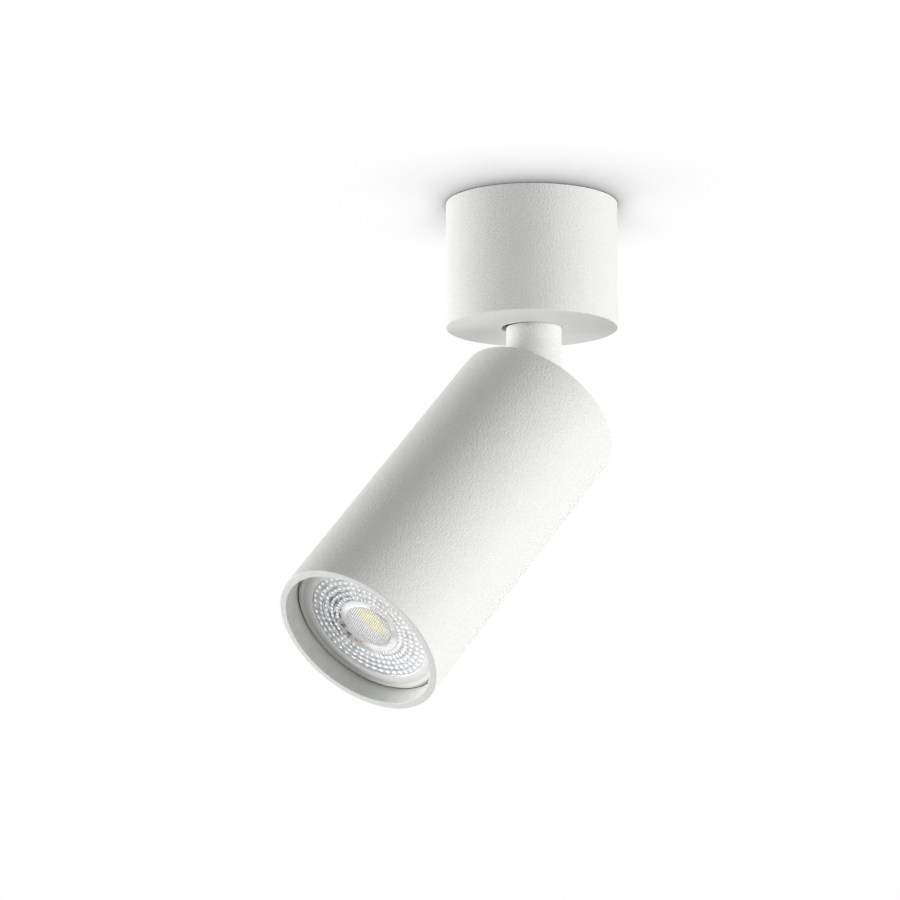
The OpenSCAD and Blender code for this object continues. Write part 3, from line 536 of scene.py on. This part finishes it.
def board_white():
    """White solder mask, with the faint edges of the copper under it."""
    material, tree, place = patterned("board_white", "head")
    radius, _ = polar(tree, place)
    fold = maths(tree, "PINGPONG", radius, TRACK_PITCH / 2)
    track = ramp(tree, fold, (0.44, 0.0), (0.5, 1.0), (0.56, 0.0))
    base = mix(tree, noise(tree, place, 0.5), *MASK)
    shade = mix(tree, track, base, TRACK_EDGE)
    surface(tree, shade, 0.35, bump(tree, track, 0.02))
    return material


def emitter():
    """Yellow phosphor with its grains, on a white ceramic square."""
    material, tree, place = patterned("emitter_yellow", "head")
    radius, _ = polar(tree, place)
    disc = maths(tree, "LESS_THAN", radius, PHOSPHOR_R)
    grain = noise(tree, place, 4.0)
    patch = ramp(tree, noise(tree, place, 0.28, detail=1.0), (0.42, 0.0), (0.6, 1.0))
    shade = mix(tree, disc, EMITTER_WHITE, mix(tree, patch, *PHOSPHOR))
    surface(tree, shade, 0.35, bump(tree, grain, 0.03))
    return material


def circuit_green():
    """Green solder mask with copper tracks under it."""
    material, tree, place = patterned("driver_green", "head")
    track = add(tree, "TexBrick", {
        "Vector": place, "Scale": 0.35, "Mortar Size": 0.06, "Color1": (0.05, 0.22, 0.09, 1),
        "Color2": (0.05, 0.25, 0.10, 1), "Mortar": (0.16, 0.42, 0.16, 1)})
    relief = bump(tree, track.outputs["Fac"], 0.03)
    surface(tree, track.outputs["Color"], 0.35, relief)
    return material


def chip_mixed():
    """Dark to tan, by place: the plain chips that board_chips stands for."""
    material, tree, place = patterned("chip_mixed", "head")
    cell = add(tree, "TexVoronoi", {"Vector": place, "Scale": 0.45}).outputs["Color"]
    level = add(tree, "SeparateColor", {0: cell}).outputs[0]
    shade = mix(tree, level, (0.05, 0.05, 0.055, 1), (0.45, 0.33, 0.2, 1))
    surface(tree, shade, 0.4, bump(tree, noise(tree, place, 4.0), 0.01))
    return material


# The nodes that wear each material
by_material = {
    powder_coat("white_paint"): ["canopy_shell"],
    powder_coat("white_paint_stem", shade_above=CANOPY_UNDERSIDE + SLACK): ["stem"],
    powder_coat("white_paint_tube", "head", bore=True): ["head_tube"],
    powder_coat("carrier_paint", "head"): ["pivot_carrier"],
    spangle("zinc_sheet", "bracket"): ["ceiling_bracket", "stem_bridge", "earth_lug"],
    spangle("zinc_sheet_head", "head"): ["lampholder_bracket"],
    metal("zinc_turned", STEEL, 0.32, along=(1, 1, 6)): ["stem_spring_washer", "stem_nut", "terminal_screws"],
    metal("pin_nickel", STEEL, 0.22, "head", along=(1, 1, 6)): ["lamp_pins"],
    metal("screw_steel", DARK_STEEL, 0.38, along=(1, 1, 5)): [
        "canopy_grub_screws", "bridge_screws", "terminal_fixing_screw", "earth_screw", "swivel_stop_pin"],
    metal("screw_steel_head", DARK_STEEL, 0.36, "head", along=(5, 1, 1)): [
        "pivot_screws", "carrier_retaining_ring", "bracket_screws", "holder_screws"],
    metal("brass", BRASS, 0.3, "bracket", along=(6, 1, 1)): ["terminal_sleeves"],
    metal("brass_contact", BRASS, 0.28, "head"): ["holder_contacts"],
    plastic("nylon", NYLON, 0.5, "bracket"): ["terminal_block", "swivel_friction_washer"],
    plastic("nylon_head", NYLON, 0.5): ["pivot_washers"],
    insulation("lead_brown", (0.26, 0.12, 0.05, 1)): ["line_lead_upper", "line_lead_lower"],
    insulation("lead_blue", (0.05, 0.16, 0.45, 1)): ["neutral_lead_upper", "neutral_lead_lower"],
    insulation("lead_green", (0.10, 0.38, 0.07, 1), (0.80, 0.72, 0.08, 1)): ["earth_lead"],
    braid("glass_sleeve"): ["stem_lead_sleeve"],
    braid("glass_sleeve_head", "head"): ["head_lead_sleeve"],
    ceramic(): ["lampholder"],
    plastic("ring_plastic", (0.70, 0.69, 0.67, 1), 0.5, "head", Specular_IOR_Level=0.25): ["retaining_ring"],
    plastic("grip_rubber", (0.03, 0.03, 0.03, 1), 0.65, "head"): ["grip_ring"],
    plastic("lamp_plastic", WHITE_PLASTIC, 0.35, "head"): ["lamp_housing", "lamp_base"],
    board_white(): ["lamp_board"],
    emitter(): ["led_emitter"],
    chip_mixed(): ["board_parts"],
    metal("heat_aluminium", (0.72, 0.73, 0.75, 1), 0.35, "head", scale=3.0): ["heat_spreader"],
    circuit_green(): ["driver_board"],
    plastic("driver_black", (0.03, 0.032, 0.036, 1), 0.45, "head"): ["driver_parts"],
}
LENS_ZONES = [
    optic("lens_border", border_look, clear=0.05, roughness=0.3),
    optic("lens_field", cell_look, clear=0.5, roughness=0.06),
    optic("lens_collar", flute_look, clear=0.95, roughness=0.03, coat=0.2),
    optic("lens_core", dot_look, clear=0.6, roughness=0.12, ior=1.2, coat=0.0),
    optic("lens_back", back_look, clear=0.97, roughness=0.02, coat=0.0)]
BORDER, FIELD, COLLAR, CORE, BACK = range(len(LENS_ZONES))
cad_materials = {node: material for material, nodes in by_material.items() for node in nodes}
cad_materials["lamp_lens"] = LENS_ZONES[FIELD]
for name, node in frame["nodes"].items():
    node.data.materials.clear()
    node.data.materials.append(cad_materials[name])


# Pieces made here

# The angle from which an edge stays sharp, and the corners of a square
SHARP = math.radians(50)
SQUARE = ((-1, -1), (-1, 1), (1, 1), (1, -1))


def head_object(name, points, faces, materials, zones, smooth=True):
    """An object from points in the head's frame, in millimetres. Zones number each face's material."""
    mesh = bpy.data.meshes.new(name)
    mesh.from_pydata([HEAD @ Vector(p) for p in points], [], faces)
    mesh.set_sharp_from_angle(angle=SHARP)
    for material in materials:
        mesh.materials.append(material)
    mesh.polygons.foreach_set("use_smooth", [smooth] * len(mesh.polygons))
    mesh.polygons.foreach_set("material_index", zones)
    piece = bpy.data.objects.new(name, mesh)
    bpy.context.scene.collection.objects.link(piece)
    return piece


def zoned_mesh():
    """An empty mesh and the layer that numbers its faces' zones."""
    mesh = bmesh.new()
    return mesh, mesh.faces.layers.int.new("zone")


def mesh_data(mesh, zone):
    """The mesh's points, faces and zones, and the end of the mesh."""
    mesh.verts.index_update()
    points = [tuple(v.co) for v in mesh.verts]
    faces = [[v.index for v in f.verts] for f in mesh.faces]
    zones = [f[zone] for f in mesh.faces]
    mesh.free()
    return points, faces, zones


# Lens with its small lenses: depths are behind the lens's front

# Steps of the mesh across a small lens and across a dot, and the height of the dots' triangles by their side
CELL_STEPS = 6
DOT_STEPS = 4
TRIANGLE = math.sqrt(3) / 2

# The small lenses lie deepest at the collar and rise towards the border
FIELD_DEPTH = 0.65
FIELD_LIFT = 0.3

# Core: depth of its rim, rise of its middle, its plain edge, and the width over which the array fades
CORE_DEPTH = 0.45
CORE_DOME = 0.35
CORE_EDGE = 0.2
DOT_FADE = 0.4

# Border: how far its edge lies back, and the width of its slope down to the small lenses and to the core
EDGE_DROP = 0.05
BORDER_SLOPE = 0.12

# Rows of radius, depth and zone: the back from its middle to the seat, and the collar
BACK_ROWS = [(0.4, LENS_MIDDLE, BACK), (6.4, LENS_MIDDLE, BACK), (10.6, LENS_BACK, BACK)]
COLLAR_ROWS = [
    (CELLS_INNER, FIELD_DEPTH, COLLAR), (10.2, 0.66, COLLAR), (9.4, 0.68, COLLAR),
    (CORE_R + 0.3, 0.72, COLLAR)]


def in_window(r, angle):
    """True where the innermost ring has no small lenses and the board shows through."""
    toward_window = math.cos(angle - math.radians(WINDOW))
    return r < WINDOW_R - SLACK and toward_window > math.cos(math.radians(WINDOW_HALF))


def cell_depth(r, angle):
    """Depth of the small lenses' face behind the lens's border."""
    place = (r - CELLS_INNER) / CELL_PITCH
    base = FIELD_DEPTH - FIELD_LIFT * place / CELL_RINGS
    if in_window(r, angle):
        return base
    across = 2 * (place - min(int(place), CELL_RINGS - 1)) - 1
    along = 2 * ((angle / TURN * CELLS_ROUND) % 1.0) - 1
    return base - CELL_RISE * (1 - across * across) * (1 - along * along)


def dot_height(i, j):
    """Height of the array at a point of the triangular grid, by the square of the way to the nearest dot."""
    x, y = i + j / 2, j * TRIANGLE
    middle_row = round(j / DOT_STEPS)
    squares_away = []
    for row in (middle_row - 1, middle_row, middle_row + 1):
        dot_x = DOT_STEPS * (round(x / DOT_STEPS - row / 2) + row / 2)
        squares_away.append((x - dot_x) ** 2 + (y - DOT_STEPS * row * TRIANGLE) ** 2)
    return DOT_RISE * (1 - min(squares_away) / (DOT_STEPS / 2) ** 2)


def lens_rows():
    """The lens's outline as rows of radius, depth and zone, from the middle of its back to the core's rim."""
    border = [
        (LENS_SEAT_R, LENS_BACK), (LENS_SEAT_R, EDGE_DROP), (LENS_R, EDGE_DROP), (LENS_R - EDGE_DROP, 0.0),
        (CELLS_OUTER + BORDER_SLOPE, 0.0)]
    rows = BACK_ROWS + [(r, depth, BORDER) for r, depth in border]
    rows.append((CELLS_OUTER, FIELD_DEPTH - FIELD_LIFT, FIELD))
    for step in range(1, CELL_RINGS * CELL_STEPS):
        rows.append((CELLS_OUTER - CELL_PITCH * step / CELL_STEPS, cell_depth, FIELD))
    return rows + COLLAR_ROWS + [(CORE_R + BORDER_SLOPE, FIELD_DEPTH, BORDER), (CORE_R, CORE_DEPTH, CORE)]


def turn_lens(mesh, zone):
    """The lens's back, border, small lenses and collar, turned row by row round the axis."""
    count = CELLS_ROUND * CELL_STEPS
    before, before_zone = None, BACK
    for r, depth, row_zone in lens_rows():
        row = []
        for k in range(count):
            a = TURN * k / count
            d = depth(r, a) if callable(depth) else depth
            row.append(mesh.verts.new((r * math.cos(a), r * math.sin(a), LENS_FRONT + d)))
        if before:
            for k in range(count):
                m = (k + 1) % count
                shows_board = before_zone == FIELD and in_window(r, TURN * (k + 0.5) / count)
                face = mesh.faces.new((before[k], before[m], row[m], row[k]))
                face[zone] = COLLAR if shows_board else before_zone
        else:
            mesh.faces.new(reversed(row))[zone] = BACK
        before, before_zone = row, row_zone


def array_core(mesh, zone):
    """The core's face: a triangular grid that carries the fine array, cut to a circle."""
    step = DOT_PITCH / DOT_STEPS
    reach = CORE_R - CORE_EDGE
    n = int(reach / step) + 2
    spots = {}
    for j in range(-2 * n, 2 * n + 1):
        for i in range(-2 * n, 2 * n + 1):
            x, y = j * step * TRIANGLE, (i + j / 2) * step
            r = math.hypot(x, y)
            if r <= reach:
                dome = CORE_DOME * (1 - (r / CORE_R) ** 2)
                rise = dome + dot_height(i, j) * min(1.0, (reach - r) / DOT_FADE)
                spots[i, j] = mesh.verts.new((x, y, LENS_FRONT + CORE_DEPTH - rise))
    for i, j in list(spots):
        for corners in (((i, j), (i, j + 1), (i + 1, j)), ((i + 1, j), (i, j + 1), (i + 1, j + 1))):
            if all(c in spots for c in corners):
                mesh.faces.new([spots[c] for c in corners])[zone] = CORE
    for v in [v for v in spots.values() if not v.link_faces]:
        mesh.verts.remove(v)


def make_lens():
    """The lens as one closed mesh, its core joined to the collar's edge."""
    mesh, zone = zoned_mesh()
    turn_lens(mesh, zone)
    array_core(mesh, zone)
    made = bmesh.ops.bridge_loops(mesh, edges=[e for e in mesh.edges if e.is_boundary])
    for face in made["faces"]:
        face[zone] = CORE
    bmesh.ops.recalc_face_normals(mesh, faces=mesh.faces)
    return mesh_data(mesh, zone)


lens_points, lens_faces, lens_zones = make_lens()
lens = head_object("lens_with_small_lenses", lens_points, lens_faces, LENS_ZONES, lens_zones)
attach(lens, "lamp")
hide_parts("lamp_lens")


# Retaining ring: a rounded bead with two faint steps on its inner slope

RING_LEN = RING_BACK - RING_FRONT

# Radius, and depth behind the ring's front
RING_OUTLINE = (
    (25.3, RING_LEN), (25.3, 0.58), (24.78, 0.54), (24.76, 0.48), (24.82, 0.43), (25.1, 0.40), (25.16, 0.32),
    (25.5, 0.24), (25.56, 0.16), (25.85, 0.06), (26.05, 0.01), (26.2, 0.0), (26.38, 0.06), (26.48, 0.2),
    (26.52, 0.7), (26.7, 0.85), (27.22, 0.85), (27.22, 1.4), (27.0, 1.6), (27.0, RING_LEN))
RING_STEPS = 180


def make_ring():
    """The outline turned round the axis."""
    points, faces = [], []
    rows = len(RING_OUTLINE)
    for k in range(RING_STEPS):
        a = TURN * k / RING_STEPS
        points += [(r * math.cos(a), r * math.sin(a), RING_FRONT + depth) for r, depth in RING_OUTLINE]
        this, after = k * rows, (k + 1) % RING_STEPS * rows
        for i in range(rows):
            j = (i + 1) % rows
            faces.append((this + i, this + j, after + j, after + i))
    return points, faces, [0] * len(faces)


bead_points, bead_faces, bead_zones = make_ring()
bead = head_object(
    "retaining_ring_bead", bead_points, bead_faces, [cad_materials["retaining_ring"]], bead_zones)
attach(bead, "head")
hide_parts("retaining_ring")


# Small parts on the lamp's board

CHIP_LOOKS = [
    plastic("chip_body", (0.015, 0.018, 0.022, 1), 0.35, "head"),
    plastic("chip_tin", (0.62, 0.55, 0.42, 1), 0.35, "head"),
    plastic("pad_copper", (0.95, 0.26, 0.01, 1), 0.35, "head", second=(0.55, 0.15, 0.02, 1)),
    plastic("chip_blue", (0.25, 0.52, 0.80, 1), 0.4, "head")]
BODY, TIN, COPPER, BLUE = range(len(CHIP_LOOKS))
CHAMFER_SHARE = 0.2
TINNED_SHARE = 0.22
BODY_WIDTH_SHARE = 0.94
BODY_HEIGHT_SHARE = 0.92


def turned(middle, x, y, turn):
    """The place that lies x and y from the middle, in directions turned by those degrees."""
    c, s = math.cos(math.radians(turn)), math.sin(math.radians(turn))
    return middle[0] + x * c - y * s, middle[1] + x * s + y * c


def block(mesh, zone, middle, size, turn, number):
    """A box with chamfered top edges that stands on the board."""
    length, width, height = size
    chamfer = min(length, width, height) * CHAMFER_SHARE
    rings = []
    for shrink, up in ((0, 0), (0, height - chamfer), (chamfer, height)):
        a, b = length / 2 - shrink, width / 2 - shrink
        corners = [turned(middle, x * a, y * b, turn) for x, y in SQUARE]
        rings.append([mesh.verts.new((x, y, BOARD_Z - up)) for x, y in corners])
    faces = [mesh.faces.new(reversed(rings[0])), mesh.faces.new(rings[-1])]
    for low, high in zip(rings, rings[1:]):
        for k in range(4):
            m = (k + 1) % 4
            faces.append(mesh.faces.new((low[k], low[m], high[m], high[k])))
    for face in faces:
        face[zone] = number


def chip(mesh, zone, middle, size, turn, body):
    """A body between two tinned ends."""
    length, width, height = size
    end = length * TINNED_SHARE
    for side in (-1, 1):
        place = turned(middle, side * (length - end) / 2, 0, turn)
        block(mesh, zone, place, (end, width, height), turn, TIN)
    inner = (length - 2 * end, width * BODY_WIDTH_SHARE, height * BODY_HEIGHT_SHARE)
    block(mesh, zone, middle, inner, turn, body)


# Chips: place in the head's frame, size, turn and look
CHIPS = [
    ((-15.4, 0.2), (2.6, 1.5, 0.7), 85, BODY), ((-15.9, 4.1), (3.0, 1.6, 0.8), 62, BODY),
    ((-11.7, 11.4), (1.8, 1.1, 0.6), 35, BLUE), ((-17.4, -11.4), (2.8, 1.8, 0.9), -40, BODY),
    ((-11.6, -16.9), (2.8, 1.8, 0.9), -20, BODY), ((4.0, -16.5), (2.4, 1.4, 0.7), 10, BODY)]

# Copper pads: place, size and turn
PADS = [
    ((-14.8, 7.2), (1.6, 1.3), 50), ((-13.2, 8.0), (0.9, 0.7), 20), ((-11.5, 13.2), (1.6, 1.3), 35),
    ((9.6, -3.9), (2.6, 1.2), 70), ((10.1, -1.2), (2.6, 1.2), 80), ((7.4, -2.8), (1.5, 1.2), 60),
    ((8.2, -1.2), (1.0, 0.7), 70), ((11.3, 2.6), (3.0, 1.2), 100), ((6.9, 5.3), (2.6, 1.2), 120),
    ((11.7, 6.7), (3.0, 1.2), 115), ((7.3, 9.8), (3.2, 1.2), 125), ((6.3, 11.6), (1.6, 1.2), 120),
    ((9.2, 13.2), (3.0, 1.2), 130), ((2.0, 7.6), (1.8, 1.0), 170)]
PAD_RISE = 0.12


def make_chips():
    """All the chips and pads as one mesh."""
    mesh, zone = zoned_mesh()
    for middle, size, turn, body in CHIPS:
        chip(mesh, zone, middle, size, turn, body)
    for middle, (length, width), turn in PADS:
        block(mesh, zone, middle, (length, width, PAD_RISE), turn, COPPER)
    return mesh_data(mesh, zone)


chip_points, chip_faces, chip_zones = make_chips()
board_chips = head_object("board_chips", chip_points, chip_faces, CHIP_LOOKS, chip_zones, smooth=False)
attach(board_chips, "lamp")
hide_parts("board_parts")


# Ceiling and background, in metres

CEILING_HALF = 1.5
CEILING_GAP = 0.0003

# What the ceiling and the world give the object, against the white that is seen
CEILING_LEVEL = 0.39
WORLD_LEVEL = 0.15

# Shadows on the ceiling, as grey levels by the share of open sky within reach. The first falls on the side
# that the photograph shows, the second on the far side, and the third is the thin line round the canopy. A
# lean is the direction from which a shadow's light comes.
SHADOW_SAMPLES = 16
SHADOW_REACH = 0.06
SHADOW = ((0.40, 0.38), (0.46, 0.54), (0.61, 0.745), (0.72, 0.895), (0.80, 0.96), (0.95, 1.0))
SHADOW_LEAN = (-0.59, 0.54, -0.6)
FAR_SHADOW = ((0.66, 0.70), (0.70, 0.80), (0.74, 0.89), (0.78, 0.95), (0.82, 0.98), (0.88, 1.0))
FAR_LEAN = (0.693, -0.635, -0.342)
CONTACT_REACH = 0.012
CONTACT = ((0.50, 0.61), (0.60, 0.85), (0.68, 0.90), (0.76, 0.94), (0.90, 0.98), (1.0, 1.0))


def looked_at(tree):
    """1 for rays that show a surface to the camera, straight, mirrored or through glass."""
    path = add(tree, "LightPath").outputs
    seen = maths(tree, "MAXIMUM", path["Is Camera Ray"], path["Is Transmission Ray"])
    return maths(tree, "MAXIMUM", seen, path["Is Glossy Ray"])


def shadow(tree, reach, stops, lean=None):
    """Grey level of the object's shadow."""
    inputs = {"Distance": reach}
    if lean:
        inputs["Normal"] = add(tree, "CombineXYZ", dict(enumerate(lean))).outputs[0]
    occlusion = add(tree, "AmbientOcclusion", inputs, samples=SHADOW_SAMPLES)
    return ramp(tree, occlusion.outputs["AO"], *stops)


def ceiling_white():
    """White with the object's soft shadow. It lights the object at its own level, and is clear from above."""
    material, tree = new_material("ceiling_white")
    shade = shadow(tree, SHADOW_REACH, SHADOW, SHADOW_LEAN)
    shade = mix(tree, 1.0, shade, shadow(tree, SHADOW_REACH, FAR_SHADOW, FAR_LEAN), "MULTIPLY")
    shade = mix(tree, 1.0, shade, shadow(tree, CONTACT_REACH, CONTACT), "MULTIPLY")
    seen = add(tree, "Emission", {"Color": shade, "Strength": 1.0}).outputs[0]
    lit = add(tree, "Emission", {"Color": grey(1.0), "Strength": CEILING_LEVEL}).outputs[0]
    front = add(tree, "MixShader", {0: looked_at(tree), 1: lit, 2: seen}).outputs[0]
    clear = add(tree, "BsdfTransparent").outputs[0]
    back = add(tree, "NewGeometry").outputs["Backfacing"]
    finish(tree, add(tree, "MixShader", {0: back, 1: front, 2: clear}).outputs[0])
    return material


def ceiling():
    mesh = bpy.data.meshes.new("ceiling")
    corners = [(x * CEILING_HALF, y * CEILING_HALF, CEILING_GAP) for x, y in SQUARE]
    mesh.from_pydata(corners, [], [(0, 1, 2, 3)])
    mesh.materials.append(ceiling_white())
    plane = bpy.data.objects.new("ceiling", mesh)
    bpy.context.scene.collection.objects.link(plane)


def background():
    """White where it is looked at, and a weak light on the object."""
    world = bpy.data.worlds.new("studio")
    bpy.context.scene.world = world
    world.use_nodes = True
    tree = world.node_tree
    tree.nodes.clear()
    level = maths(tree, "MULTIPLY_ADD", looked_at(tree), 1.0 - WORLD_LEVEL, WORLD_LEVEL)
    light = add(tree, "Background", {"Color": grey(1.0), "Strength": level})
    tree.links.new(light.outputs[0], add(tree, "OutputWorld").inputs["Surface"])


ceiling()
background()


# Lamps, in metres and watts

# The object's middle, a place just outside the mouth, and the camera's turn round the object
CENTRE = Vector((0, -0.03, -0.09))
MOUTH = HEAD @ Vector((0, 0, -113))
VIEW_TURN = 47.48

# Size, distance and spread of a soft box, in metres and degrees
BOX_SIZE = (0.7, 0.9)
BOX_DISTANCE = 1.4
WIDE = 180

# Each soft box: turn from the camera's side, positive to its right, rise, both in degrees, and watts
BOXES = {
    "right_box": (66, -5, 20.5),
    "left_box": (-95, -5, 24.7),
    "low_front_box": (45, -42, 3.1),
    "low_right_box": (90, -42, 1.5),
    "low_left_box": (-90, -42, 2.6),
    "low_rear_box": (180, -42, 1.6),
    "back_right_box": (150, -5, 3.0),
    "back_left_box": (-150, -5, 3.0)}


def soft_box(name, turn, rise, watts, size=BOX_SIZE, distance=BOX_DISTANCE, aim=CENTRE, spread=WIDE):
    """Area lamp aimed at the object. A lamp with a narrow spread doesn't show in reflections."""
    turn, rise = math.radians(VIEW_TURN + turn), math.radians(rise)
    away = Vector((math.sin(turn) * math.cos(rise), -math.cos(turn) * math.cos(rise), math.sin(rise)))
    data = bpy.data.lights.new(name, "AREA")
    data.shape = "RECTANGLE"
    data.size, data.size_y = size
    data.energy = watts
    data.spread = math.radians(spread)
    light = bpy.data.objects.new(name, data)
    light.location = aim + away * distance
    light.rotation_mode = "QUATERNION"
    light.rotation_quaternion = away.to_track_quat("Z", "Y")
    light.visible_glossy = spread == WIDE
    bpy.context.scene.collection.objects.link(light)


for name, (turn, rise, watts) in BOXES.items():
    soft_box(name, turn, rise, watts)
soft_box("mouth_box", turn=5, rise=-32, watts=0.001, size=(0.1, 0.1), distance=0.9, aim=MOUTH, spread=14)


# Camera, fitted to the lamp's face and the outlines in the photograph: metres and degrees

CAMERA_PLACE = (1.01555, -0.97085, -0.35756)
CAMERA_RISE = 10.877
CAMERA_ROLL = 0.059
FOCAL_MM = 165.145

camera_data = bpy.data.cameras.new("camera")
camera_data.lens = FOCAL_MM
camera_data.sensor_width = 36
camera_data.clip_start = 0.05
camera_data.clip_end = 20
camera = bpy.data.objects.new("camera", camera_data)
camera.matrix_world = (
    Matrix.Translation(CAMERA_PLACE)
    @ Matrix.Rotation(math.radians(VIEW_TURN), 4, "Z")
    @ Matrix.Rotation(math.radians(90 + CAMERA_RISE), 4, "X")
    @ Matrix.Rotation(math.radians(CAMERA_ROLL), 4, "Z"))
bpy.context.scene.collection.objects.link(camera)
bpy.context.scene.camera = camera
bpy.context.scene.view_settings.view_transform = "Standard"
